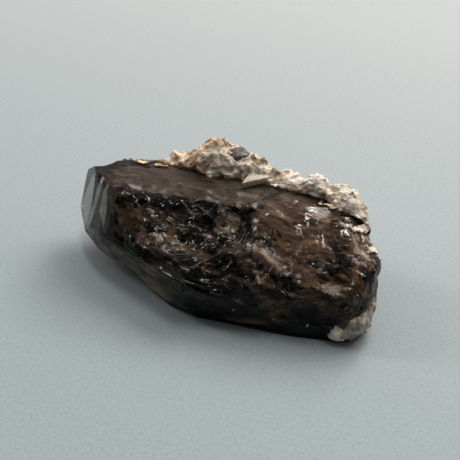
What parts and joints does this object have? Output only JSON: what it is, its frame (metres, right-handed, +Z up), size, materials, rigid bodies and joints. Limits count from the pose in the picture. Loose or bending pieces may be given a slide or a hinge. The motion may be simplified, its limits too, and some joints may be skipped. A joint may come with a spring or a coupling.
{
  "type": "smoky quartz crystal",
  "caption": "Loose smoky quartz crystal specimen lying on its side, with flat tip facets, a chipped shell-broken front, a broken root and a granular feldspar crust along its back edge",
  "frame": {"origin": "under the middle of the whole stone, on the surface it lies on", "axes": "+Z up; +X along the stone's length from the tip to the broken root; the chipped front faces -Y"},
  "size_m": [0.1026, 0.0496, 0.0373],
  "materials": {
    "smoky_quartz": "clear smoky brown, glossy where broken, faintly satin on crystal faces, near black where thick",
    "feldspar_crust": "granular, cream to orange, matte",
    "dark_crystal": "cloudy grey-brown, semi-gloss",
    "pale_crust": "fine-grained, grey-beige, matte"
  },
  "bodies": {
    "root": {"quartz_crystal": "smoky_quartz", "ridge_crust": "feldspar_crust", "small_crystal": "dark_crystal", "foot_crust": "pale_crust"}
  },
  "joints": []
}
